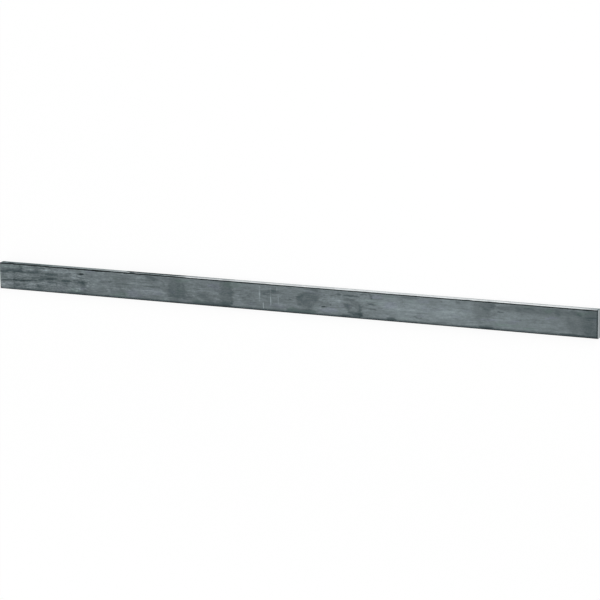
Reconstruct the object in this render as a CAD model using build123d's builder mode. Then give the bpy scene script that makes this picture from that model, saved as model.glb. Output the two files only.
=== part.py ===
"""Steel flat bar: solid rectangular stock, hot rolled and sawn square to length.

The bar lies on one of its two wide faces. X runs along its length, Y across its
width and Z up through its thickness. The origin is at the middle of the face
that it lies on. All sizes are in millimetres.
"""

import os

from build123d import *

# Driving dimensions
bar_length = 700.0  # end to end, over the two sawn faces
bar_width = 30.0  # over the crowns of the two narrow edges
bar_thickness = 10.0  # between the two wide faces
corner_radius = 1.0  # rolled on the four long corners
edge_crown = 0.15  # bulge of each narrow edge, where steel spreads between the rolls
end_break = 0.25  # corner filed off round each sawn end

# Half the width where a narrow edge would meet a wide face, had it no rolled corner.
flank = bar_width / 2 - edge_crown


with BuildPart() as flat_bar:
    # The section, as it leaves the finishing rolls: two flat faces, two crowned
    # edges, and a round corner where each face runs into an edge.
    with BuildSketch(Plane.YZ) as rolled_section:
        with BuildLine():
            underside = Line((-flank, 0), (flank, 0))
            crowned_edge = SagittaArc(underside @ 1, (flank, bar_thickness), -edge_crown)
            top = Line(crowned_edge @ 1, (-flank, bar_thickness))
            SagittaArc(top @ 1, underside @ 0, -edge_crown)
        make_face()
        fillet(rolled_section.vertices(), corner_radius)

    # The rolls leave that section the same along the whole bar.
    extrude(amount=bar_length / 2, both=True)

    # The saw cuts both ends square, and a file breaks the sharp rim of each cut.
    sawn_ends = flat_bar.faces().filter_by(Axis.X)
    chamfer(sawn_ends.edges(), end_break)

flat_bar.part.label = "flat_bar"

os.makedirs("parts", exist_ok=True)
export_step(flat_bar.part, "parts/flat_bar.step")
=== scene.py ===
"""A length of steel flat bar with its mill finish, lying on a pale studio floor.

Lengths are in metres, as MM times a size in millimetres. The bar lies along X, its width runs along Y
and its thickness along Z, and it rests on the floor at height 0.
"""
import math
import random

import bpy
import numpy as np
from mathutils import Matrix, Vector


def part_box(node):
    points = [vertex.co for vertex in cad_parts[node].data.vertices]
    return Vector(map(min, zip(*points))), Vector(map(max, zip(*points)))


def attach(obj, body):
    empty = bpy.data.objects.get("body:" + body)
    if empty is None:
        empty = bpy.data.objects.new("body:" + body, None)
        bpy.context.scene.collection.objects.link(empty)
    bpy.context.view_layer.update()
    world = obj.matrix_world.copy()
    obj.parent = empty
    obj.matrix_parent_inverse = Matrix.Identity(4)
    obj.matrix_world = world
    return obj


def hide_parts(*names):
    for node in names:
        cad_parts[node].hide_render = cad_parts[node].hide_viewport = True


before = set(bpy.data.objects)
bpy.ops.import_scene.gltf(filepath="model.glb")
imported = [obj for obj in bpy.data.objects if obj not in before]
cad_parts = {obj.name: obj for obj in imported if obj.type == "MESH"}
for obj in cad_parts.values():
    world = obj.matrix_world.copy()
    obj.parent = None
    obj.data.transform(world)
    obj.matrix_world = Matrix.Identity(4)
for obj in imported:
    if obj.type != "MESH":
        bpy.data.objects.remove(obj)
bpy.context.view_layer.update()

# ---------------------------------------------------------------------------------------------
# The rolled bar. One piece of plain carbon steel. The finishing rolls leave two flat wide faces,
# two slightly crowned narrow edges and four round corners, and a bandsaw cuts it square to length.
# ---------------------------------------------------------------------------------------------

MM = 0.001
left_low, right_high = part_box("flat_bar")
bar_length = right_high.x - left_low.x
bar_width = right_high.y - left_low.y
bar_thickness = right_high.z - left_low.z
corner_radius = 1.0 * MM  # rolled on the four long corners
edge_crown = 0.15 * MM  # bulge of each narrow edge
rim_break = 0.25 * MM  # taken off round each sawn end

# How fine the mesh is: cells round the section, and rings along the bar
cells_across = 34  # over the flat of a wide face
cells_through = 12  # over the flat of a narrow edge
corner_cells = 2  # each side of the middle of a round corner
ring_spacing = 0.88 * MM
fine_spacing = 0.30 * MM  # at the sawn ends, and where narrow scratches cross the bar
spacing_growth = 0.12  # how fast the spacing widens away from those places
rim_rings = 3  # over the round of the broken rim
spacing_steps = 20001  # places along the bar at which the spacing is worked out
crossed_from = -30 * MM  # the stretch that the cross scratches lie in
crossed_to = -4 * MM


def ring_places():
    """Where the rings stand along the bar, close together round the rims and at the cross scratches."""
    half = bar_length / 2
    rim = [rim_break * (1 - math.cos(math.pi / 2 * ring / rim_rings)) for ring in range(rim_rings)]
    along = np.linspace(-half + rim_break, half - rim_break, spacing_steps)
    from_end = half - np.abs(along)
    from_scratches = np.maximum(crossed_from - along, along - crossed_to).clip(0)
    spacing = fine_spacing + spacing_growth * np.minimum(from_end, from_scratches)
    rings = np.concatenate([[0], np.cumsum(np.diff(along) / spacing[1:].clip(0, ring_spacing))])
    between = np.interp(np.linspace(0, rings[-1], round(rings[-1])), rings, along)
    return [-half + inset for inset in rim] + list(between) + [half - inset for inset in reversed(rim)]


# ---- wires, which carry a value from node to node ----


def connect(value, socket):
    """Plugs a wire into a socket, or sets the socket to a plain value."""
    if isinstance(value, Wire):
        value.tree.links.new(value.socket, socket)
    else:
        socket.default_value = value


class Wire:
    """What one output of a node carries, so that a rule can be written as a sum."""

    def __init__(self, tree, socket):
        self.tree = tree
        self.socket = socket

    def math(self, operation, *others):
        node = self.tree.nodes.new("ShaderNodeMath")
        node.operation = operation
        for socket, value in zip(node.inputs, (self, *others)):
            connect(value, socket)
        return Wire(self.tree, node.outputs[0])

    def __add__(self, other):
        return self.math("ADD", other)

    def __radd__(self, other):
        return self.math("ADD", other)

    def __sub__(self, other):
        return self.math("SUBTRACT", other)

    def __rsub__(self, other):
        return self.math("MULTIPLY_ADD", -1.0, other)

    def __mul__(self, other):
        return self.math("MULTIPLY", other)

    def __rmul__(self, other):
        return self.math("MULTIPLY", other)

    def __truediv__(self, other):
        return self.math("DIVIDE", other)

    def __abs__(self):
        return self.math("ABSOLUTE")

    def at_most(self, other):
        return self.math("MINIMUM", other)

    def at_least(self, other):
        return self.math("MAXIMUM", other)


def add_node(tree, kind, inputs=None, output=0, **settings):
    """Adds a node with its settings and inputs, and returns the wire of one of its outputs."""
    node = tree.nodes.new(kind)
    for name, value in settings.items():
        setattr(node, name, value)
    for name, value in (inputs or {}).items():
        connect(value, node.inputs[name])
    return Wire(tree, node.outputs[output])


def vector_math(operation, first, second, output=0):
    """A sum on vectors. The second one may be a plain number where the sum takes one."""
    second_input = "Scale" if operation == "SCALE" else 1
    inputs = {0: first, second_input: second}
    return add_node(first.tree, "ShaderNodeVectorMath", inputs, output, operation=operation)


def three_wires(vector):
    """The X, Y and Z of a vector."""
    node = vector.tree.nodes.new("ShaderNodeSeparateXYZ")
    connect(vector, node.inputs[0])
    return [Wire(vector.tree, socket) for socket in node.outputs]


def vector_of(tree, x, y, z):
    return add_node(tree, "ShaderNodeCombineXYZ", {0: x, 1: y, 2: z})


def eased(value, start, end, low=0.0, high=1.0):
    """Goes smoothly from low to high as the value goes from start to end."""
    inputs = {"Value": value, "From Min": start, "From Max": end, "To Min": low, "To Max": high}
    return add_node(value.tree, "ShaderNodeMapRange", inputs, interpolation_type="SMOOTHSTEP")


def uneven(place, lumps, detail=3.0, roughness=0.6):
    """Noise of about -1 to 1, with lumps of the given size along each axis."""
    stretched = vector_math("DIVIDE", place, lumps)
    inputs = {"Vector": stretched, "Scale": 1.0, "Detail": detail, "Roughness": roughness}
    return add_node(place.tree, "ShaderNodeTexNoise", inputs).math("MULTIPLY_ADD", 2.0, -1.0)


# ---- strokes, which lay the marks of rolling and handling on the bar ----


def stored(geometry, name, kind, value):
    """The geometry with one more named attribute on its points."""
    inputs = {"Geometry": geometry, "Name": name, "Value": value}
    return add_node(geometry.tree, "GeometryNodeStoreNamedAttribute", inputs, data_type=kind)


def named(tree, name, kind="FLOAT"):
    return add_node(tree, "GeometryNodeInputNamedAttribute", {"Name": name}, data_type=kind)


def new_group(name, kind, asked, given):
    """A node group with its named inputs and outputs. Returns it with the wires of its inputs."""
    tree = bpy.data.node_groups.new(name, kind)
    for title, socket_type in asked.items():
        tree.interface.new_socket(title, in_out="INPUT", socket_type="NodeSocket" + socket_type)
    for title, socket_type in given.items():
        tree.interface.new_socket(title, in_out="OUTPUT", socket_type="NodeSocket" + socket_type)
    entry = tree.nodes.new("NodeGroupInput")
    return tree, {socket.name: Wire(tree, socket) for socket in entry.outputs if socket.name}


def give(tree, results):
    """Plugs the results into the group's outputs."""
    way_out = tree.nodes.new("NodeGroupOutput")
    for name, value in results.items():
        connect(value, way_out.inputs[name])


def placed(tree, group, inputs):
    """Places a group in a tree of its own kind, and returns the wires of its outputs by name."""
    node = tree.nodes.new(group.bl_idname.replace("Tree", "Group"))
    node.node_tree = group
    for name, value in inputs.items():
        connect(value, node.inputs[name])
    return {socket.name: Wire(tree, socket) for socket in node.outputs}


lay_strokes, asked = new_group(
    "lay_strokes",
    "GeometryNodeTree",
    {"Geometry": "Geometry", "Strokes": "Object", "Name": "String", "Raggedness": "Float"},
    {"Geometry": "Geometry"},
)
tree = lay_strokes
strokes = add_node(tree, "GeometryNodeObjectInfo", {"Object": asked["Strokes"]}, "Geometry")
stroke_count = add_node(tree, "GeometryNodeAttributeDomainSize", {"Geometry": strokes})
each_start = tree.nodes.new("GeometryNodeRepeatInput")
each_end = tree.nodes.new("GeometryNodeRepeatOutput")
each_start.pair_with_output(each_end)
connect(stroke_count, each_start.inputs["Iterations"])
connect(stored(asked["Geometry"], asked["Name"], "FLOAT", 0.0), each_start.inputs["Geometry"])
stroke_number = Wire(tree, each_start.outputs["Iteration"])


def of_this_stroke(kind, value):
    inputs = {"Geometry": strokes, "Value": value, "Index": stroke_number}
    return add_node(lay_strokes, "GeometryNodeSampleIndex", inputs, data_type=kind)


end_taper = 0.45  # how much narrower a stroke is at its two ends
stroke_from = of_this_stroke("FLOAT_VECTOR", add_node(tree, "GeometryNodeInputPosition"))
stroke_run = of_this_stroke("FLOAT_VECTOR", named(tree, "run", "FLOAT_VECTOR"))
drift = vector_math("SCALE", named(tree, "drift", "FLOAT_VECTOR"), asked["Raggedness"])
here = vector_math("ADD", add_node(tree, "GeometryNodeInputPosition"), drift)
from_start = vector_math("SUBTRACT", here, stroke_from)
run_squared = vector_math("DOT_PRODUCT", stroke_run, stroke_run, "Value")
share_of_run = vector_math("DOT_PRODUCT", from_start, stroke_run, "Value") / run_squared
share_of_run = share_of_run.at_least(0.0).at_most(1.0)
nearest = vector_math("SCALE", stroke_run, share_of_run)
off_line = vector_math("DISTANCE", from_start, nearest, "Value")
from_middle = share_of_run * 2.0 - 1.0
spindle = 1.0 - from_middle * from_middle * end_taper
in_widths = off_line / (of_this_stroke("FLOAT", named(tree, "half_width")) * spindle)
rim_share = of_this_stroke("FLOAT", named(tree, "softness"))
covered = eased(in_widths, 1.0, 1.0 - rim_share)
strength = of_this_stroke("FLOAT", named(tree, "strength"))
laid = stored(
    Wire(tree, each_start.outputs["Geometry"]),
    asked["Name"],
    "FLOAT",
    named(tree, asked["Name"]) + covered * strength,
)
connect(laid, each_end.inputs["Geometry"])
give(tree, {"Geometry": Wire(tree, each_end.outputs["Geometry"])})

# ---- the bar's own shape ----

rolled_bar_group, asked = new_group(
    "rolled_bar",
    "GeometryNodeTree",
    {
        "Rings": "Geometry",
        "Length": "Float",
        "Width": "Float",
        "Thickness": "Float",
        "Corner Radius": "Float",
        "Edge Crown": "Float",
        "Rim Break": "Float",
        "Cells Across": "Int",
        "Cells Through": "Int",
        "Corner Cells": "Int",
        "Row Drift": "Float",
        "Cross Drift": "Float",
        "Roll Ripple": "Float",
        "Scale Relief": "Float",
        "Saw Depth": "Float",
        "Pit Depth": "Float",
        "Scratch Depth": "Float",
        "Seed": "Float",
        "Face Finish": "Material",
        "Edge Finish": "Material",
        "Sawn Finish": "Material",
        "shade strokes": "Object",
        "tint strokes": "Object",
        "patchy strokes": "Object",
        "pit strokes": "Object",
        "scratch strokes": "Object",
    },
    {"Bar": "Geometry"},
)
tree = rolled_bar_group

# A block of cells one unit apart. Its faces wrap round the bar, and its ends are the sawn ends.
rings = add_node(tree, "GeometryNodeAttributeDomainSize", {"Geometry": asked["Rings"]})
cells_wide = asked["Cells Across"] + 2 * asked["Corner Cells"]
cells_high = asked["Cells Through"] + 2 * asked["Corner Cells"]
block = add_node(
    tree,
    "GeometryNodeMeshCube",
    {
        "Size": vector_of(tree, rings - 1, cells_wide, cells_high),
        "Vertices X": rings,
        "Vertices Y": cells_wide + 1,
        "Vertices Z": cells_high + 1,
    },
)
position = add_node(tree, "GeometryNodeInputPosition")
x_cell, y_cell, z_cell = three_wires(position)
ring_number = (x_cell + (rings - 1) / 2).math("ROUND")
ring_place = add_node(
    tree,
    "GeometryNodeSampleIndex",
    {"Geometry": asked["Rings"], "Value": position, "Index": ring_number},
    data_type="FLOAT_VECTOR",
)
along = three_wires(ring_place)[0]

# How far round a corner a point is, first in cells and then as an angle from the narrow edge
least_share = 0.001  # so there is no division by 0, and a tie goes to the wide face
over_width = abs(y_cell) / (asked["Cells Across"] / 2)
over_height = abs(z_cell) / (asked["Cells Through"] / 2)
past_width = (abs(y_cell) - asked["Cells Across"] / 2).at_least(0.0) / asked["Corner Cells"]
past_height = (abs(z_cell) - asked["Cells Through"] / 2).at_least(0.0) / asked["Corner Cells"]
out_of_corner = past_width.at_least(past_height)
into_corner = past_width.at_most(past_height) / out_of_corner.at_least(least_share)
on_wide_face = past_height.math("GREATER_THAN", past_width - least_share)
quarter_turn = math.pi / 2
turned = into_corner * (quarter_turn / 2) + on_wide_face * quarter_turn * (1.0 - into_corner)

# The broken rim pulls the section in by a quarter round over the last part of the length
rim_slack = 0.01  # so the first ring of the rim counts as part of it
into_rim = (abs(along) - asked["Length"] / 2 + asked["Rim Break"]) / asked["Rim Break"]
rim_start = into_rim.math("GREATER_THAN", -rim_slack)
into_rim = into_rim.at_least(0.0).at_most(1.0)
rim_inset = asked["Rim Break"] * (1.0 - (1.0 - into_rim * into_rim).math("SQRT"))
round_by = (asked["Corner Radius"] - rim_inset) * out_of_corner

flank = asked["Width"] / 2 - asked["Edge Crown"]
half_thick = asked["Thickness"] / 2
y_off = over_width.at_most(1.0) * (flank - asked["Corner Radius"])
z_off = over_height.at_most(1.0) * (half_thick - asked["Corner Radius"])
y_off = y_off + round_by * turned.math("COSINE")
z_off = z_off + round_by * turned.math("SINE")
up_edge = z_off / half_thick
y_off = y_off + asked["Edge Crown"] * (1.0 - up_edge * up_edge) * (y_off / flank)
rolled_place = vector_of(
    tree, along, y_off * y_cell.math("SIGN"), z_off * z_cell.math("SIGN") + half_thick
)
bar = stored(block, "sideways", "FLOAT", 1.0 - turned / quarter_turn)
last_ring = (rings - 1) / 2
ring_slack = 0.25  # of a cell
bar = stored(bar, "sawn", "FLOAT", abs(x_cell).math("GREATER_THAN", last_ring - ring_slack))
bar = stored(bar, "rim", "FLOAT", rim_start)
bar = add_node(tree, "GeometryNodeSetPosition", {"Geometry": bar, "Position": rolled_place})

in_mm = vector_math("SCALE", position, 1 / MM)
in_mm = vector_math("ADD", in_mm, vector_of(tree, asked["Seed"], 0.0, 0.0))

# Marks fray along the bar, row by row, and wander a little across it
row_lumps = (40.0, 1.4, 1.4)
wander_lumps = (9.0, 4.0, 4.0)
normal = add_node(tree, "GeometryNodeInputNormal")
_, y_facing, z_facing = three_wires(normal)
row_drift = uneven(in_mm, row_lumps, detail=2.0) * asked["Row Drift"]
cross_drift = uneven(in_mm, wander_lumps) * asked["Cross Drift"]
drift = vector_of(
    tree, row_drift, cross_drift * (1.0 - abs(y_facing)), cross_drift * (1.0 - abs(z_facing))
)
bar = stored(bar, "drift", "FLOAT_VECTOR", drift)
ragged_by = {"shade": 1.0, "tint": 2.0, "patchy": 2.0, "pit": 0.4, "scratch": 0.1}
for kind, raggedness in ragged_by.items():
    strokes = asked[kind + " strokes"]
    inputs = {"Geometry": bar, "Strokes": strokes, "Name": kind, "Raggedness": raggedness}
    bar = placed(tree, lay_strokes, inputs)["Geometry"]

# Relief. Rolling leaves long shallow ripples, and scale lifts off in patches of its own thickness.
ripple_lumps = (80.0, 2.4, 2.4)
flake_lumps = (5.0, 2.2, 2.2)
flake_start = 0.10
flake_full = 0.24
ripple = uneven(in_mm, ripple_lumps, detail=2.0, roughness=0.5)
flakes = uneven(in_mm, flake_lumps, detail=4.0, roughness=0.65)
flaked = eased(flakes, flake_start, flake_full)
bar = stored(bar, "flaked", "FLOAT", flaked)
rolled = 1.0 - named(tree, "sawn")
sunk = asked["Roll Ripple"] * (ripple + 1.0) + asked["Scale Relief"] * flaked
sunk = sunk + asked["Pit Depth"] * named(tree, "pit")
sunk = sunk + asked["Scratch Depth"] * named(tree, "scratch")
inward = vector_math("SCALE", normal, sunk * rolled * -1.0)
bar = add_node(tree, "GeometryNodeSetPosition", {"Geometry": bar, "Offset": inward})

# The saw blade runs across the width, and each stroke of it bites a little deeper or shallower
bite_lumps = (1000.0, 25.0, 0.9)
bite = uneven(in_mm, bite_lumps, detail=2.0, roughness=0.5)
which_end = three_wires(position)[0].math("SIGN")
saw_in = asked["Saw Depth"] * (bite + 1.0) * named(tree, "sawn") * which_end * -1.0
saw_offset = vector_of(tree, saw_in, 0.0, 0.0)
bar = add_node(tree, "GeometryNodeSetPosition", {"Geometry": bar, "Offset": saw_offset})

bar = add_node(tree, "GeometryNodeSetShadeSmooth", {"Geometry": bar, "Shade Smooth": True})
bar = add_node(tree, "GeometryNodeRealizeInstances", {"Geometry": bar})
bar = add_node(
    tree, "GeometryNodeSetMaterial", {"Geometry": bar, "Material": asked["Face Finish"]}
)
mostly = 0.5
wholly = 0.99
for finish, share, least in (("Edge Finish", "sideways", mostly), ("Sawn Finish", "rim", wholly)):
    chosen = named(tree, share).math("GREATER_THAN", least)
    inputs = {"Geometry": bar, "Selection": chosen, "Material": asked[finish]}
    bar = add_node(tree, "GeometryNodeSetMaterial", inputs)
give(tree, {"Bar": bar})

# ---- the marks on this bar ----

# A stroke on the upper wide face, in millimetres: from (x, y) to (x, y), half width, then how many
# times it halves the brightness (or doubles it, where above 0). A seventh number is how much of the
# stroke is soft rim.
usual_softness = 0.9
upper_shades = [
    (-345, 13.4, -290, 13.4, 1.0, 0.9),
    (-345, 12.2, -290, 12.2, 0.8, -0.5),
    (-292, 13.2, -190, 13.2, 1.0, 0.65),
    (-187, 13.4, -178, 13.4, 1.2, 0.7),
    (-168, 13.4, -122, 13.4, 1.2, 0.45),
    (-348, 13.0, -348, -13.0, 4.0, 0.18),
    # this stroke and the next: painted shade along the far corner
    (-300, 14.9, -100, 14.9, 1.1, -2.6),
    (-110, 14.6, 30, 14.6, 1.2, -0.8),
    (-290, -13.7, 70, -13.7, 1.7, -0.35),
    (-350, -13.7, -300, -13.7, 1.7, 0.35),
    (-354, -13.8, -328, -13.8, 1.5, 0.45),
    # the whole left end is a little darker, and so is the middle: partly scale, and partly painted shade
    # where the sheen of the light falls off
    (-352, 0.0, -270, 0.0, 32.0, -0.2),
    (-125, 0.0, 55, 0.0, 32.0, -0.08),
    # left end: a light band under the far corner
    (-345, 11.0, -318, 12.0, 2.2, 0.45),
    (-349, 12.0, -334, 12.2, 2.4, 0.4),
    (-316, 11.2, -303, 10.5, 2.0, 0.35),
    (-300, 10.5, -262, 10.5, 2.4, 0.55),
    (-262, 9.5, -250, 9.0, 2.5, 0.3),
    (-324, 12.5, -321, 9.0, 2.2, -0.7),
    # left end: a dark band below it that rises to the right, and what it breaks up into
    (-350, 5.6, -338, 5.2, 2.6, -0.95),
    (-342, 7.2, -320, 6.8, 2.6, -0.9),
    (-334, 4.8, -328, 4.8, 1.6, -0.85),
    (-330, 5.5, -300, 6.5, 1.6, -0.95),
    (-312, 7.5, -296, 8.0, 1.6, -0.85),
    (-300, 7.0, -276, 6.5, 1.4, -0.45),
    (-292, 5.4, -276, 5.4, 2.2, -0.85),
    (-276, 5.5, -262, 5.5, 1.4, -0.55),
    (-256, 5.5, -240, 5.0, 1.5, -0.45),
    # left end: a thin dark line along the middle, with thicker scale where it ends
    (-349, -5.2, -334, -4.4, 1.3, -1.55),
    (-334, -4.0, -303, -2.2, 1.3, -1.55),
    (-322, -3.5, -318, -3.0, 1.8, -0.6),
    (-300, -1.0, -294, -1.0, 2.4, -0.95),
    (-289, 0.5, -281, 0.3, 2.0, -1.05),
    (-296, 1.6, -278, 1.3, 4.0, -0.6),
    (-288, -3.0, -279, -3.0, 2.0, -0.4),
    (-270, 0.0, -258, -0.3, 2.0, -1.2),
    (-266, -3.0, -262, -4.0, 1.8, -0.45),
    (-256, 1.5, -246, 1.0, 1.6, -0.6),
    (-252, -1.0, -238, -1.0, 1.9, -0.85),
    # left end: light patches between the lines, and dark ones near the lower edge
    (-344, 1.0, -332, 0.8, 3.2, 0.4),
    (-326, 1.5, -310, 1.5, 2.6, 0.4),
    (-346, -8.6, -334, -8.6, 4.4, 0.4),
    (-318, -10.0, -306, -9.5, 3.0, 0.3),
    (-312, -6.5, -304, -7.0, 3.0, 0.35),
    (-298, -5.0, -272, -5.5, 3.0, 0.35),
    (-262, -4.0, -248, -6.5, 3.0, 0.35),
    (-346, 5.0, -346, -6.0, 1.2, -0.4),
    (-331, 5.0, -331, -14.0, 2.0, -0.6),
    (-329, -8.8, -324, -8.8, 1.8, -0.7),
    (-301, -7.5, -299, -9.5, 2.2, -0.85),
    (-278, -3.0, -277, -10.0, 1.2, -0.45),
    (-244, 4.0, -241, -13.0, 5.5, -0.5),
    (-262, -12.5, -244, -12.0, 2.6, -0.7),
    # between the left end and the dark block
    (-242, 11.0, -226, 10.0, 2.8, 0.3),
    (-236, -3.0, -229, -7.0, 4.0, 0.25),
    (-229, -0.5, -228, -1.5, 1.6, 0.5),
    (-224, 11.0, -216, 9.0, 3.0, 0.25),
    (-222, 1.8, -208, 2.6, 1.4, -0.5),
    (-211, 3.2, -207, 3.2, 1.4, -0.5),
    (-204, 1.8, -187, 1.8, 1.3, -0.45),
    (-205, 6.5, -190, 5.5, 1.2, -0.25),
    (-224, -6.0, -214, -5.6, 1.4, -0.35),
    (-226, -9.5, -212, -8.0, 2.2, -0.3),
    (-215, -13.0, -210, -13.0, 2.0, -0.5),
    (-214, -4.0, -210, -8.0, 2.6, 0.3),
    (-207, -4.0, -207, -8.0, 1.3, -0.4),
    (-197, -3.0, -191, -11.0, 3.5, -0.4),
    (-206, -5.0, -192, -3.0, 2.0, 0.2),
    (-188, 3.5, -170, 3.5, 2.0, 0.3),
    (-186, -2.5, -180, -5.0, 1.2, -0.35),
    (-176, 8.0, -170, 12.0, 3.0, 0.35),
    (-186, -6.5, -148, -4.5, 5.0, 0.12),
    (-168, 1.2, -148, 1.4, 1.2, -0.95),
    (-164, 12.0, -150, 9.5, 3.0, -0.5),
    (-156, 9.0, -153, 8.5, 1.6, -0.4),
    (-158, -8.0, -150, -8.5, 1.6, -0.35),
    (-146, 9.0, -140, 1.5, 2.5, -0.3),
    (-146, -1.0, -141, -10.0, 4.5, 0.3),
    # the dark block, with a straight left side and a darker right one
    (-129, 20.0, -129, -20.0, 10.0, -0.3, 0.5),
    (-136, 6.0, -131, -4.0, 4.5, -0.2),
    (-124, 6.0, -121, -5.0, 7.0, -0.22),
    (-118.5, 8.0, -117.5, -10.0, 4.0, -0.4),
    (-112, -7.0, -102, -9.0, 4.0, -0.2),
    (-136, -7.0, -108, -7.0, 3.0, -0.3),
    (-112, 0.5, -104, 0.0, 2.0, 0.35),
    (-106, -4.0, -100, -6.5, 2.6, 0.35),
    (-110, 10.0, -98, 10.0, 3.0, 0.25),
    (-104, 0.8, -92, 1.2, 1.2, 0.3),
    (-110, 3.0, -98, 2.6, 1.0, -0.4),
    (-97, 7.0, -95, 6.0, 1.4, -0.35),
    (-97, -3.0, -84, -9.0, 6.5, -0.36),
    (-106, -11.8, -62, -12.2, 3.0, -0.6),
    (-85, 0.5, -76, -1.0, 2.4, 0.35),
    (-80, -5.0, -76, -6.5, 2.2, 0.4),
    (-83, 2.4, -72, 2.0, 1.0, -0.35),
    (-78.5, -1.0, -77.5, -2.0, 1.1, -0.4),
    # a dark band across the whole face, with a straight right side
    (-67, 20.0, -66, -22.0, 9.2, -0.36, 0.4),
    (-61, 8.0, -60.5, -12.0, 3.4, -0.2, 0.6),
    (-78, 14.0, -78, -12.0, 8.0, -0.12),
    (-74, -10.0, -60, -10.0, 3.0, -0.45),
    (-54, 3.0, -52, -11.0, 3.6, 0.18),
    (-40, 1.0, -38, 0.0, 1.8, -0.3),
    (-48, -2.5, -32, -1.5, 0.9, -0.35),
    (-48, -5.0, -34, -4.2, 0.9, -0.35),
    (-46, -8.0, -30, -7.0, 0.9, -0.35),
    # the middle: dark streaks under the cross scratches
    (-20, 7.8, -5, 8.2, 0.9, -0.6),
    (-21, 5.2, -5, 5.6, 0.9, -0.6),
    (-21, 2.8, -9, 3.0, 0.8, -0.6),
    (-24, 6.5, -6, 7.0, 4.5, -0.12),
    (-13, 7.6, -7, 7.4, 1.9, -0.4),
    (-24, 4.0, -20, 5.0, 1.6, -0.3),
    (-12, 11.2, -7, 11.2, 1.0, -0.3),
    (-12, -7.0, 4, -7.0, 3.0, 0.25),
    (6.5, 0.6, 9, 0.2, 1.4, -0.9),
    # right of the middle: a dark cloud with a darker far rim
    (15, 2.0, 24, 5.5, 1.8, -0.45),
    (22, 7.5, 36, 8.8, 2.4, -0.35),
    (20, 1.0, 38, 2.0, 11.5, -0.33, 0.8),
    (24, -5.0, 32, -6.0, 12.0, -0.2),
    (17, 1.0, 24, -1.0, 4.5, -0.2),
    (19, -4.5, 22, -4.5, 1.5, -0.3),
    (35, 4.0, 42, 6.0, 2.5, -0.2),
    (26, 12.8, 42, 12.4, 1.6, -0.3),
    (6, -11.0, 38, -11.0, 3.4, -0.6),
    (44, 3.0, 66, 2.0, 6.5, 0.18),
    (42, -7.0, 64, -8.5, 4.0, 0.15),
    (47, 7.8, 49, 7.3, 1.0, -0.5),
    (56, 8.0, 62, 8.6, 1.0, -0.55),
    (61, 9.9, 68, 9.5, 0.9, -0.8),
    # a crescent of thick scale, with streaks above it and to its right
    (71, 9.2, 88, 9.6, 1.4, -0.95),
    (90, 11.5, 98, 12.2, 1.1, -0.7),
    (101, 12.5, 103, 8.0, 2.4, -0.6),
    (100, 7.5, 116, 7.6, 1.0, -0.5),
    (73, 5.0, 82, 4.0, 3.0, -0.4),
    (74, -1.0, 86, -3.0, 6.0, -0.2),
    (71, 0.0, 77, -5.0, 4.0, -0.4),
    (83, 4.0, 90, -1.0, 3.6, -0.3),
    (90, -1.0, 90.5, -12.0, 4.4, -0.6),
    (76, -8.5, 92, -10.5, 3.2, -0.7),
    (82, -11.5, 92, -11.5, 4.0, -0.5),
    (68, -12.8, 80, -12.6, 2.2, -0.9),
    (82, -3.0, 84, -4.5, 2.6, 0.3),
    (98, 1.7, 107, 1.4, 1.3, -0.8),
    (102, 2.4, 104, 2.4, 1.3, -0.3),
    (99, -3.3, 110, -3.6, 1.3, -0.8),
    (110, -1.5, 116, -1.5, 1.0, -0.4),
    (121, -12.0, 129, -12.4, 3.8, -0.85),
    # the bright stretch, with few marks: lighter partly for its scale, and partly as a painted sheen of
    # the light
    (116, 4.0, 134, -2.0, 7.0, 0.1),
    (110, 0.0, 220, 0.0, 26.0, 0.1),
    (134, -2.0, 206, 0.0, 10.5, 0.12),
    (244, -3.0, 296, -3.0, 13.0, 0.08),
    (136, 12.2, 156, 12.0, 2.2, -0.4),
    (139, 7.0, 140, 1.0, 1.2, -0.25),
    (152, -7.0, 154, -7.5, 1.5, -0.7),
    (154, -8.5, 160, -8.5, 1.0, -0.4),
    (153, 6.8, 162, 6.4, 0.9, -0.3),
    (176, -11.5, 186, -11.2, 1.5, -0.5),
    (179, 11.3, 182, 11.3, 0.9, -0.5),
    (196, 12.0, 202, 11.0, 2.0, -0.4),
    # a cloud under the far corner, and the dark band that runs from it to the right end
    (220, 12.0, 223, -7.0, 8.0, -0.22, 0.7),
    (226, 10.8, 238, 10.5, 7.5, -0.42, 0.5),
    (228, 7.0, 232, -1.0, 7.0, -0.22),
    (236, 12.0, 238, 9.0, 4.2, -0.25, 0.8),
    (224, -12.6, 238, -12.8, 2.6, -0.9),
    (228, -4.5, 236, -4.3, 0.9, -0.35),
    (243, 4.8, 249, 4.6, 0.9, -0.8),
    (244, 9.6, 330, 9.6, 5.2, -0.32, 0.6),
    (262, 10.0, 268, 9.0, 3.5, -0.2),
    (272, 11.0, 282, 10.0, 2.0, -0.35),
    (264, -1.0, 268, -2.5, 1.1, -0.3),
    # the right end: darker up to the cut, partly scale, and partly painted shade where the sheen falls
    # off
    (306, 11.0, 308, 7.0, 4.6, -0.25),
    (322, 12.0, 330, 8.0, 4.0, -0.3),
    (318, 4.0, 326, -12.0, 7.0, -0.25),
    (346, 13.0, 346, -13.0, 30.0, -0.62),
    (328, 6.0, 346, 6.6, 1.3, -0.35),
    (334, 4.0, 342, 3.6, 0.9, -0.3),
    (336, -9.5, 339, -10.5, 2.0, -0.5),
    (310, -12.7, 335, -12.7, 2.0, -0.7),
    # painted shade along the far corner
    (290, 14.4, 354, 14.4, 0.9, -1.3),
    (345, 5.0, 345, -12.0, 0.8, 0.35),
    (347.4, 5.0, 347.4, -8.0, 0.8, 0.35),
]
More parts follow.
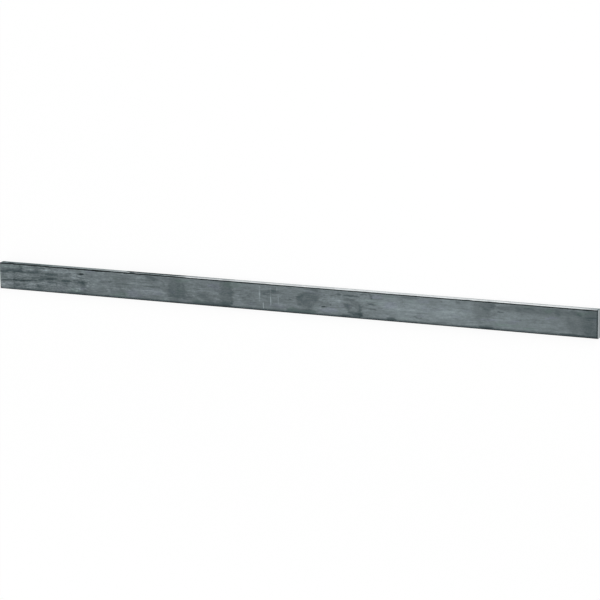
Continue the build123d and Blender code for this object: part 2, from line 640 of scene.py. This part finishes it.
# Where the oxide film is greener (above 0) or more violet (below 0) than elsewhere
upper_tints = [
    (-345, 11.0, -310, 12.0, 3.0, 1.0),
    (-262, -11.0, -244, -10.0, 4.0, 0.7),
    (-247, -6.0, -240, -8.0, 5.0, -0.8),
    (-240, 13.0, -228, 13.0, 2.4, -0.7),
    (-206, -11.0, -190, -10.0, 4.5, 1.0),
    (-188, -8.0, -170, -9.5, 5.0, -1.1),
    (-168, -5.0, -148, -5.5, 5.5, -0.6),
    (-136, -1.0, -128, -3.0, 4.5, -0.9),
    (-128, 11.0, -112, 11.0, 4.0, 0.9),
    (-88, 8.0, -72, 7.0, 3.5, -0.8),
    (-68, 11.0, -48, 11.0, 4.5, 1.0),
    (-110, -11.0, -84, -10.0, 4.0, 0.5),
    (-50, -10.0, -30, -9.0, 3.5, -0.7),
    (-14, -8.0, 6, -9.0, 4.5, -0.8),
    (8, -10.0, 36, -12.0, 4.5, 0.9),
    (44, -9.0, 62, -8.0, 5.0, -1.1),
    (66, -1.0, 78, -2.0, 4.5, -0.7),
    (102, 10.0, 114, 9.5, 3.4, -1.2),
    (118, 11.0, 130, 11.0, 3.0, 0.6),
    (152, 8.5, 168, 9.0, 2.5, -0.7),
    (160, 2.0, 198, -3.0, 8.0, -0.5),
    (118, 3.0, 132, 1.0, 6.0, -0.8),
    (206, -7.0, 222, -6.5, 2.4, -0.7),
    (243, -8.5, 285, -9.5, 3.4, 0.8),
    (224, -4.5, 240, -4.5, 2.6, -1.0),
    (256, -4.0, 268, -3.4, 2.6, -1.0),
    (296, 3.0, 308, 4.0, 2.6, -1.0),
    (294, 10.5, 302, 10.0, 4.0, 1.0),
    (326, 10.5, 342, 11.0, 3.2, 1.0),
    (345, 6.0, 348, 6.0, 3.0, -0.8),
]
upper_patchy = [  # where the scale is more uneven than elsewhere
    (-350, 0.0, -240, 0.0, 24.0, 1.7, 0.6),
    (-250, 0.0, -40, 0.0, 24.0, 0.4),
    (10, 0.0, 100, 0.0, 20.0, 0.3),
    (112, 0.0, 222, 0.0, 24.0, -0.3, 0.6),
    (240, 0.0, 340, 0.0, 24.0, -0.25, 0.6),
]
upper_pits = [  # with how deep in place of the brightness, 1 being the full depth
    (-251.0, 8.8, -244.0, 8.9, 0.9, 0.6),
    (-247.6, 9.0, -242.5, 9.2, 1.4, 1.0),
    (44.0, -4.6, 52.0, -5.2, 0.9, 0.6),
    (46.0, -4.8, 49.5, -5.1, 1.1, 0.3),
    (55.4, -2.4, 56.8, -2.4, 1.2, 0.5),
]
upper_scratches = [  # the same, each scratch being brighter where it is deeper
    (-26.6, 12.0, -26.8, -4.5, 1.5, 0.28),
    (-26.6, 6.0, -26.7, 0.0, 1.6, 0.35),
    (-22.5, -5.8, -22.4, -12.8, 0.9, 0.75),
    (-13.9, 11.5, -13.7, -8.0, 1.0, 0.26),
    (-13.7, 0.0, -13.6, -7.0, 1.4, 0.45),
    (-6.2, 12.0, -6.2, 7.5, 0.8, 0.55),
    (-4.9, 3.0, -4.7, -6.0, 0.8, 0.4),
    (-24.0, 8.8, -14.0, 9.6, 0.6, 0.25),
]
# The same on the far narrow edge, with the height in place of y
far_edge_shades = [
    (-350, 6.0, -285, 6.0, 5.0, -0.7),
    (-348, 3.0, -346, 7.0, 4.5, -1.4),
    (-340, 7.0, -332, 7.4, 2.4, -1.2, 0.8),
    (-350, 7.6, -288, 7.6, 4.0, -1.2),
    (-292, 7.8, -190, 7.8, 3.4, -0.8),
    (-350, 3.0, -190, 3.0, 4.0, -1.15),
    (-187, 4.0, -180, 4.0, 6.8, -2.0, 0.4),
    (-187, 1.6, -180, 1.6, 6.2, -1.2, 0.5),
    (-174, 5.0, -122, 5.0, 8.0, -0.8, 0.8),
    (-186, 2.2, -120, 2.4, 6.4, -2.2, 0.5),
    (-128, 1.8, -106, 1.4, 2.0, -0.9),
    (-150, 2.0, -60, 2.0, 3.0, -0.3),
    # painted shadow low on the edge towards the right, where it meets the floor
    (200, 1.8, 420, 1.8, 3.0, -0.5),
    # this stroke and the next: painted shade along the top of the edge, under the far corner
    (-360, 9.4, -290, 9.4, 1.0, -1.5),
    (-295, 9.7, -125, 9.7, 1.3, -2.2),
    # painted highlight: the edge lighter near its top, where its crown turns up to the light
    (-120, 8.9, 90, 8.9, 1.5, 0.45),
    # painted shade along the top of the edge, under the far corner
    (80, 9.9, 310, 9.8, 0.9, -1.6, 0.8),
    # painted highlight near the top of the edge
    (290, 7.8, 358, 7.8, 1.8, 0.45),
    (-118, 4.0, -60, 4.0, 4.0, -0.5),
    # these two: painted highlight on the upper part of the edge
    (-118, 8.0, 350, 8.0, 3.0, 0.4),
    (60, 6.0, 340, 6.0, 3.5, 0.3),
]


def strewn(count, low, high, seed):
    """Marks of the same kinds on a side that lies away, strewn along it between two lines."""
    first_start, last_start = -350, 340
    most_slant = 0.8
    shortest, longest = 8, 60
    narrowest, widest = 0.6, 2.8
    strengths = (-0.8, -0.5, -0.4, -0.3, 0.25, 0.35)
    draw = random.Random(seed)
    strokes = []
    for _ in range(count):
        x = draw.uniform(first_start, last_start)
        start = draw.uniform(low, high)
        end = start + draw.uniform(-most_slant, most_slant)
        run = draw.uniform(shortest, longest)
        half_width = draw.uniform(narrowest, widest)
        strength = draw.choice(strengths)
        strokes.append((x, start, x + run, end, half_width, strength))
    return strokes


# Each side of the bar, as where a point so far along it and so far over it lies, in millimetres.
# The far edge is the narrow one at +Y, and the near edge the one at -Y.
side_places = {
    "upper": lambda x, over: (x, over, bar_thickness / MM),
    "far_edge": lambda x, over: (x, bar_width / MM / 2, over),
    "near_edge": lambda x, over: (x, -bar_width / MM / 2, over),
    "under": lambda x, over: (x, over, 0.0),
}


def strokes_object(name, **strokes_of_side):
    """A loose point at the start of each stroke, which carries the rest of it."""
    starts, runs, looks = [], [], []
    for side, strokes in strokes_of_side.items():
        for x, over, to_x, to_over, half_width, strength, *rim in strokes:
            start = Vector(side_places[side](x, over)) * MM
            starts.append(start)
            runs.append(Vector(side_places[side](to_x, to_over)) * MM - start)
            looks.append((half_width, strength, *(rim or [usual_softness])))
    mesh = bpy.data.meshes.new(name)
    mesh.from_pydata(starts, [], [])
    run = mesh.attributes.new("run", "FLOAT_VECTOR", "POINT")
    run.data.foreach_set("vector", np.array(runs, np.float32).ravel())
    half_widths, strengths, softness = np.array(looks, np.float32).T
    carried = {"half_width": half_widths * MM, "strength": strengths, "softness": softness}
    for title, values in carried.items():
        attribute = mesh.attributes.new(title, "FLOAT", "POINT")
        attribute.data.foreach_set("value", values)
    made = bpy.data.objects.new(name, mesh)
    bpy.context.scene.collection.objects.link(made)
    return made


# ---- finishes of the bar ----


def new_material(name):
    material = bpy.data.materials.new(name)
    material.use_nodes = True
    tree = material.node_tree
    shader = next(node for node in tree.nodes if node.type == "BSDF_PRINCIPLED")
    return material, tree, shader


def blended(share, first, second):
    """One colour laid over another by a share from 0 to 1."""
    node = share.tree.nodes.new("ShaderNodeMix")
    node.data_type = "RGBA"
    connect(share, node.inputs["Factor"])
    colours = [socket for socket in node.inputs if socket.type == "RGBA"]
    connect(first, colours[0])
    connect(second, colours[1])
    return Wire(share.tree, next(socket for socket in node.outputs if socket.type == "RGBA"))


def painted(tree, name):
    """A named attribute of the mesh, read by a material."""
    return add_node(tree, "ShaderNodeAttribute", output="Fac", attribute_name=name)


def place_in_mm(tree):
    place = add_node(tree, "ShaderNodeTexCoord", output="Object")
    return add_node(tree, "ShaderNodeMapping", {"Vector": place, "Scale": (1 / MM, 1 / MM, 1 / MM)})


# Steel of one colour, made lighter or darker by a tone and tinted by an uneven oxide film
oxide_tone, asked = new_group(
    "oxide_tone",
    "ShaderNodeTree",
    {"Place": "Vector", "Steel": "Color", "Tone": "Float", "Film": "Float", "Tint": "Float"},
    {"Color": "Color"},
)
tree = oxide_tone
untinted = (1.0, 1.0, 1.0, 1.0)
green_tint = (0.88, 1.02, 0.90, 1.0)
violet_tint = (1.04, 0.98, 1.12, 1.0)
thick_tint = (0.84, 1.0, 1.015, 1.0)  # thick scale is bluer than thin
film_lumps = (22.0, 6.0, 6.0)
film_unevenness = 0.6
tint_strength = 0.5
film_start = 0.05
film_full = 0.45
thick_start = -0.1
thick_full = -1.3
film = uneven(asked["Place"], film_lumps) * film_unevenness + asked["Tint"] * tint_strength
green_film = eased(film, film_start, film_full) * asked["Film"]
violet_film = eased(film, -film_start, -film_full) * asked["Film"]
thick_scale = eased(asked["Tone"], thick_start, thick_full)
tint = blended(violet_film, blended(green_film, untinted, green_tint), violet_tint)
tint = vector_math("MULTIPLY", tint, blended(thick_scale, untinted, thick_tint))
brightness = add_node(tree, "ShaderNodeMath", {0: 2.0, 1: asked["Tone"]}, operation="POWER")
toned = vector_math("SCALE", asked["Steel"], brightness)
give(tree, {"Color": vector_math("MULTIPLY", toned, tint)})

# How light or dark rolled steel is, in doublings, with the marks laid on the mesh taken in
rolled_tone, asked = new_group(
    "rolled_tone",
    "ShaderNodeTree",
    {
        "Place": "Vector",
        "Half Length": "Float",
        "Half Width": "Float",
        "Half Thickness": "Float",
        "Unevenness": "Float",
        "Edge Bands": "Float",
        "shade": "Float",
        "patchy": "Float",
        "flaked": "Float",
        "scratch": "Float",
        "pit": "Float",
    },
    {"Tone": "Float", "Corner": "Float", "Height": "Float"},
)
tree = rolled_tone
left_by_rolling = {  # the length and width of each in mm, and how strongly it shows
    "clouds": (30.0, 9.0, 0.35),
    "mottle": (7.0, 2.4, 0.42),
    "streaks": (22.0, 0.9, 0.50),
    "flecks": (2.4, 1.2, 0.36),
    "draw lines": (6.0, 0.34, 0.40),
    "grain": (0.80, 0.55, 0.35),
}
clouds, mottle, streaks, flecks, draw_lines, grain = (
    uneven(asked["Place"], (length, width, width)) * strength
    for length, width, strength in left_by_rolling.values()
)
break_up = 2.0  # how much the streaks and the mottle break up a mark
flaked_lift = 0.10
scratch_lift = 1.3
pit_dark = 2.8
pit_shown = (0.1, 0.8)  # how deep a pit starts to darken, and is fully dark
broken_up = 1.0 + (streaks + mottle) * break_up
uneven_scale = clouds + mottle + streaks + flecks
uneven_scale = uneven_scale * (asked["patchy"] + 1.0) * asked["Unevenness"]
tone = asked["shade"] * broken_up + uneven_scale + draw_lines + grain
tone = tone + asked["flaked"] * flaked_lift + asked["scratch"] * scratch_lift
tone = tone - eased(asked["pit"], *pit_shown) * pit_dark

# Painted shade darkens the round corners, the wide face right beside them and a band along its far side.
# The face is also darker in a band along its near side and beside the cut at the right end.
# Off a corner is how far over the wide face a place lies (above 0) or down the narrow edge (below 0).
painted_corner_shade = 3.4
cut_dark = 1.6
near_band_dark = 0.85
painted_far_band_shade = 0.5
corner_over_face = (1.25, 0.85)  # each pair, in mm: where a darkening starts and where it is full
corner_down_edge = (-0.6, -0.2)
near_band = (-11.4, -13.6)
far_band = (13.8, 14.5)
cut_band = (2.2, 0.8)
draw_line_height = 1.6
x_mm, y_mm, z_mm = three_wires(asked["Place"])
over_face = asked["Half Width"] - abs(y_mm)
down_edge = asked["Half Thickness"] - abs(z_mm - asked["Half Thickness"])
off_corner = over_face - down_edge
corner = eased(off_corner, *corner_over_face) * eased(off_corner, *corner_down_edge)
from_cut = asked["Half Length"] - x_mm
bands = eased(y_mm, *near_band) * near_band_dark + eased(y_mm, *far_band) * painted_far_band_shade
# here the painted shade darkens the corners, and on the next line the far band
tone = tone - corner * painted_corner_shade - eased(from_cut, *cut_band) * cut_dark
tone = tone - bands * asked["Edge Bands"]
height = streaks + draw_lines * draw_line_height + grain
give(tree, {"Tone": tone, "Corner": corner, "Height": height})


def rolled_material(name, steel, uneven_by, edge_bands, shine, scale_gloss, scale_metallic, dull, bright):
    """Thick dark scale where the tone is low, going over to bare steel where it is high."""
    bare_metallic = 0.92
    metallic_tones = (-1.5, 1.0)  # of thick scale and of bare steel
    roughness_tones = (-1.6, 1.4)
    film_strength = 0.5
    corner_dullness = 0.3
    bump_strength = 0.3
    bump_depth = 0.03 * MM
    material, tree, shader = new_material(name)
    in_mm = place_in_mm(tree)
    marks = ("shade", "patchy", "flaked", "scratch", "pit")
    of_bar = {
        "Place": in_mm,
        "Half Length": bar_length / MM / 2,
        "Half Width": bar_width / MM / 2,
        "Half Thickness": bar_thickness / MM / 2,
        "Unevenness": uneven_by,
        "Edge Bands": edge_bands,
    }
    rolled = placed(tree, rolled_tone, {**of_bar, **{mark: painted(tree, mark) for mark in marks}})
    tone = rolled["Tone"]
    film = {"Film": film_strength, "Tint": painted(tree, "tint")}
    colour = placed(tree, oxide_tone, {"Place": in_mm, "Steel": steel, "Tone": tone, **film})
    connect(colour["Color"], shader.inputs["Base Color"])
    metallic = eased(tone, *metallic_tones, scale_metallic, bare_metallic)
    connect(metallic, shader.inputs["Metallic"])
    shader.inputs["Specular IOR Level"].default_value = scale_gloss
    shader.inputs["Specular Tint"].default_value = (shine, shine, shine, 1.0)
    roughness = eased(tone, *roughness_tones, dull, bright) + rolled["Corner"] * corner_dullness
    connect(roughness, shader.inputs["Roughness"])
    bump_inputs = {"Strength": bump_strength, "Distance": bump_depth, "Height": rolled["Height"]}
    connect(add_node(tree, "ShaderNodeBump", bump_inputs), shader.inputs["Normal"])
    return material


face_finish = rolled_material(
    "mill_scale_face",
    steel=(0.110, 0.130, 0.1365, 1.0),
    uneven_by=1.0,
    edge_bands=1.0,
    shine=0.45,
    scale_gloss=0.5,
    scale_metallic=0.60,
    dull=0.50,
    bright=0.32,
)
# The narrow edges: the same scale on steel painted about four times lighter than the faces', a painted
# highlight standing in for the light they catch
painted_lit_edge_finish = rolled_material(  # what scale is left has no gloss
    "mill_scale_edge_painted_lit",
    steel=(0.487, 0.511, 0.520, 1.0),
    uneven_by=0.5,
    edge_bands=0.0,
    shine=1.0,
    scale_gloss=0.0,
    scale_metallic=0.0,
    dull=1.0,
    bright=0.20,
)

# The sawn ends: fine lines of the blade, a painted highlight on the rim of the end that was cut last, and
# painted light that makes that end lighter towards its top
sawn_steel = (0.205, 0.228, 0.237, 1.0)
saw_line_lumps = (4.0, 22.0, 0.30)
cloud_lumps = (6.0, 5.0, 5.0)
saw_line_strength = 0.5
cloud_strength = 0.3
old_cut_dark = -1.05
new_cut_dark = -0.15
# painted light: the new cut is lighter towards its top
painted_top_light = 0.5
painted_top_light_heights = (2.0, 8.0)  # heights in mm between which that lift comes in
# painted highlight: the broken rim of the new cut is lighter
painted_rim_highlight = 0.9
rim_highlight_start = 0.02  # mm in from the cut, on the broken rim
rim_highlight_full = 0.08
sawn_film = 0.3
sawn_metallic = 0.95
sawn_tones = (-0.5, 0.5)
sawn_dull = 0.42
sawn_bright = 0.30
saw_bump_strength = 0.5
saw_bump_depth = 0.03 * MM
sawn_finish, tree, shader = new_material("sawn_steel")
in_mm = place_in_mm(tree)
saw_lines = uneven(in_mm, saw_line_lumps)
clouds = uneven(in_mm, cloud_lumps)
x_mm, _, z_mm = three_wires(in_mm)
new_cut = x_mm.math("GREATER_THAN", 0.0)
half_length = bar_length / MM / 2
rim_highlight_share = eased(abs(x_mm), half_length - rim_highlight_start, half_length - rim_highlight_full)
lift = eased(z_mm, *painted_top_light_heights) * painted_top_light + rim_highlight_share * painted_rim_highlight
lift = lift + (new_cut_dark - old_cut_dark)
tone = saw_lines * saw_line_strength + clouds * cloud_strength + lift * new_cut + old_cut_dark
toned = {"Place": in_mm, "Steel": sawn_steel, "Tone": tone, "Film": sawn_film}
colour = placed(tree, oxide_tone, toned)
connect(colour["Color"], shader.inputs["Base Color"])
shader.inputs["Metallic"].default_value = sawn_metallic
connect(eased(tone, *sawn_tones, sawn_dull, sawn_bright), shader.inputs["Roughness"])
bump_inputs = {"Strength": saw_bump_strength, "Distance": saw_bump_depth, "Height": saw_lines}
connect(add_node(tree, "ShaderNodeBump", bump_inputs), shader.inputs["Normal"])

# ---- the bar is made ----

rings_mesh = bpy.data.meshes.new("ring_places")
rings_mesh.from_pydata([(x, 0.0, 0.0) for x in ring_places()], [], [])
ring_guide = bpy.data.objects.new("ring_guide", rings_mesh)
bpy.context.scene.collection.objects.link(ring_guide)
stroke_guides = {
    "shade strokes": strokes_object(
        "shade_strokes",
        upper=upper_shades,
        far_edge=far_edge_shades,
        near_edge=strewn(count=26, low=0.0, high=10.0, seed=3),
        under=strewn(count=70, low=-15.0, high=15.0, seed=5),
    ),
    "tint strokes": strokes_object("tint_strokes", upper=upper_tints),
    "patchy strokes": strokes_object("patchy_strokes", upper=upper_patchy),
    "pit strokes": strokes_object("pit_strokes", upper=upper_pits),
    "scratch strokes": strokes_object("scratch_strokes", upper=upper_scratches),
}
sizes = {
    "Length": bar_length,
    "Width": bar_width,
    "Thickness": bar_thickness,
    "Corner Radius": corner_radius,
    "Edge Crown": edge_crown,
    "Rim Break": rim_break,
    "Cells Across": cells_across,
    "Cells Through": cells_through,
    "Corner Cells": corner_cells,
    "Row Drift": 5.0 * MM,
    "Cross Drift": 1.8 * MM,
    "Roll Ripple": 0.015 * MM,
    "Scale Relief": 0.02 * MM,
    "Saw Depth": 0.02 * MM,
    "Pit Depth": 0.30 * MM,
    "Scratch Depth": 0.05 * MM,
    "Seed": 7.0,
    "Face Finish": face_finish,
    "Edge Finish": painted_lit_edge_finish,
    "Sawn Finish": sawn_finish,
    **stroke_guides,
}
rolling = ring_guide.modifiers.new("rolling", "NODES")
rolling.node_group = rolled_bar_group
for item in rolled_bar_group.interface.items_tree:
    if item.in_out == "INPUT" and item.name in sizes:
        rolling[item.identifier] = sizes[item.name]
evaluated = ring_guide.evaluated_get(bpy.context.evaluated_depsgraph_get())
bar_mesh = bpy.data.meshes.new_from_object(evaluated)
bar_mesh.name = "rolled_bar"
for guide in (ring_guide, *stroke_guides.values()):
    bpy.data.objects.remove(guide)


def numbers(items, name, width, kind=np.float32):
    found = np.empty(len(items) * width, kind)
    items.foreach_get(name, found)
    return found.reshape(-1, width)


# The block of cells started with an empty material slot, which goes
slot_numbers = numbers(bar_mesh.polygons, "material_index", 1, np.int32)
bar_mesh.materials.pop(index=0)
bar_mesh.polygons.foreach_set("material_index", slot_numbers.ravel() - 1)

# The bar unrolled on a flat map: its four sides one above the other, in two halves of its length,
# and below them the two sawn ends at a larger scale
map_gap = 0.004
halves_high = 0.41  # of the map's height, for each half of the length
ends_high = 1 - 2 * halves_high
faces_along = 0.5  # a face belongs to an end when its normal points mostly along the bar
at_corner = corner_radius * (1 - math.sqrt(0.5))  # a round corner is parted at its middle
wide_strip = bar_width - 2 * at_corner
narrow_strip = bar_thickness - 2 * at_corner
around = 2 * (wide_strip + narrow_strip)
corner_counts = numbers(bar_mesh.polygons, "loop_total", 1, np.int32).ravel()
corner_points = numbers(bar_mesh.loops, "vertex_index", 1, np.int32).ravel()
x, y, z = numbers(bar_mesh.vertices, "co", 3)[corner_points].T
middle_x = np.repeat(numbers(bar_mesh.polygons, "center", 3)[:, 0], corner_counts)
x_facing, y_facing, z_facing = np.repeat(
    numbers(bar_mesh.polygons, "normal", 3), corner_counts, axis=0
).T
on_end = abs(x_facing) > faces_along
on_wide = abs(z_facing) > abs(y_facing)
over = np.select(
    [on_wide & (z_facing > 0), ~on_wide & (y_facing < 0), on_wide],
    [
        wide_strip / 2 - y,
        wide_strip + (bar_thickness - at_corner - z),
        wide_strip + narrow_strip + (wide_strip / 2 + y),
    ],
    2 * wide_strip + narrow_strip + (z - at_corner),
)
right_half = middle_x > 0
along = (x + bar_length / 2 * ~right_half) / (bar_length / 2)
up = 1 - (over / around + right_half) * halves_high
end_along = ((y * np.sign(x_facing) + bar_width / 2) / bar_width + right_half) / 2
end_up = z / bar_thickness * (ends_high - map_gap)
inset = 1 - 2 * map_gap
unrolled = np.stack([np.where(on_end, end_along, along), np.where(on_end, end_up, up)], 1)
unrolled = unrolled * inset + map_gap
flat_map = bar_mesh.uv_layers.new(name="OFBake")
flat_map.uv.foreach_set("vector", unrolled.astype(np.float32).ravel())

rolled_bar = bpy.data.objects.new("rolled_bar", bar_mesh)
bpy.context.scene.collection.objects.link(rolled_bar)
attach(rolled_bar, "root")
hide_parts("flat_bar")

# ---------------------------------------------------------------------------------------------
# The floor. A plain pale sheet that the bar lies on. Far from the bar it is plain white, and close
# to the bar it takes the soft shadow.
# ---------------------------------------------------------------------------------------------

floor_half = 8.0
floor_drop = 0.05 * MM  # keeps the floor just clear of the bar's underside
shadow_share = 0.11
shadow_reach = 0.10  # metres from the bar's middle line
shadow_end = 0.40
paper_colour = (0.98, 0.98, 0.98, 1)
bpy.ops.mesh.primitive_plane_add(size=2 * floor_half, location=(0, 0, -floor_drop))
floor = bpy.context.object
floor.name = "floor"
floor_paint, tree, shader = new_material("floor_paint")
tree.nodes.remove(shader)


def seen_directly(tree):
    """1 for what the camera, a reflection or a glass sees, and 0 for what lights a surface."""
    path = tree.nodes.new("ShaderNodeLightPath")
    seen = Wire(tree, path.outputs["Is Camera Ray"])
    seen = seen.at_least(Wire(tree, path.outputs["Is Glossy Ray"]))
    return seen.at_least(Wire(tree, path.outputs["Is Transmission Ray"]))


place = add_node(tree, "ShaderNodeTexCoord", output="Object")
x_here, y_here, _ = three_wires(place)
past_end = (abs(x_here) - bar_length / 2).at_least(0.0)
from_bar = (past_end * past_end + y_here * y_here).math("SQRT")
white_share = eased(from_bar, shadow_reach, shadow_end, 1.0 - shadow_share, 1.0)
white = add_node(tree, "ShaderNodeEmission", {"Color": (1, 1, 1, 1), "Strength": 1.0})
paper = add_node(tree, "ShaderNodeBsdfDiffuse", {"Color": paper_colour})
share = seen_directly(tree) * white_share
lit = add_node(tree, "ShaderNodeMixShader", {0: share, 1: paper, 2: white})
connect(lit, tree.nodes["Material Output"].inputs["Surface"])
floor.data.materials.append(floor_paint)

# ---------------------------------------------------------------------------------------------
# The light. A pale room, two large soft boxes, and a small one that gives the upper face its sheen.
# ---------------------------------------------------------------------------------------------

air_light = 0.50
world = bpy.data.worlds.new("studio_air")
bpy.context.scene.world = world
world.use_nodes = True
background = world.node_tree.nodes["Background"]
background.inputs["Color"].default_value = (1, 1, 1, 1)
air_strength = eased(seen_directly(world.node_tree), 0.0, 1.0, air_light, 1.0)
connect(air_strength, background.inputs["Strength"])


def soft_box(name, place, aim, width, height, power):
    lamp = bpy.data.lights.new(name, "AREA")
    lamp.shape = "RECTANGLE"
    lamp.size = width
    lamp.size_y = height
    lamp.energy = power
    box = bpy.data.objects.new(name, lamp)
    box.location = place
    box.rotation_euler = (Vector(aim) - Vector(place)).to_track_quat("-Z", "Y").to_euler()
    bpy.context.scene.collection.objects.link(box)


soft_box("key_box", place=(1.3, 1.4, 1.6), aim=(0, 0, 0), width=2.0, height=2.0, power=40)
soft_box("left_box", place=(-1.8, -0.9, 0.8), aim=(0, 0, 0), width=1.8, height=1.2, power=16)
soft_box("sheen_box", place=(-0.44, -0.42, 1.66), aim=(0.15, 0, 0), width=0.36, height=0.36, power=1.7)

# ---------------------------------------------------------------------------------------------
# The camera. It looks down on the bar from beyond its far narrow edge and its right end.
# ---------------------------------------------------------------------------------------------

camera_place = Vector((1.0109, 0.5495, 2.2173))
camera_aim = Vector((0.0207, 0.0003, 0.0100))
camera_tilt = math.radians(-0.94)
lens = bpy.data.cameras.new("camera")
lens.sensor_width = 36
lens.lens = 139.73
camera = bpy.data.objects.new("camera", lens)
back = (camera_place - camera_aim).normalized()
right = Vector((0, 1, 0)).cross(back).normalized()
up = back.cross(right)
turn = Matrix((right, up, back)).transposed() @ Matrix.Rotation(camera_tilt, 3, "Z")
camera.matrix_world = Matrix.Translation(camera_place) @ turn.to_4x4()
bpy.context.scene.collection.objects.link(camera)
bpy.context.scene.camera = camera

bpy.context.scene.view_settings.view_transform = "Standard"
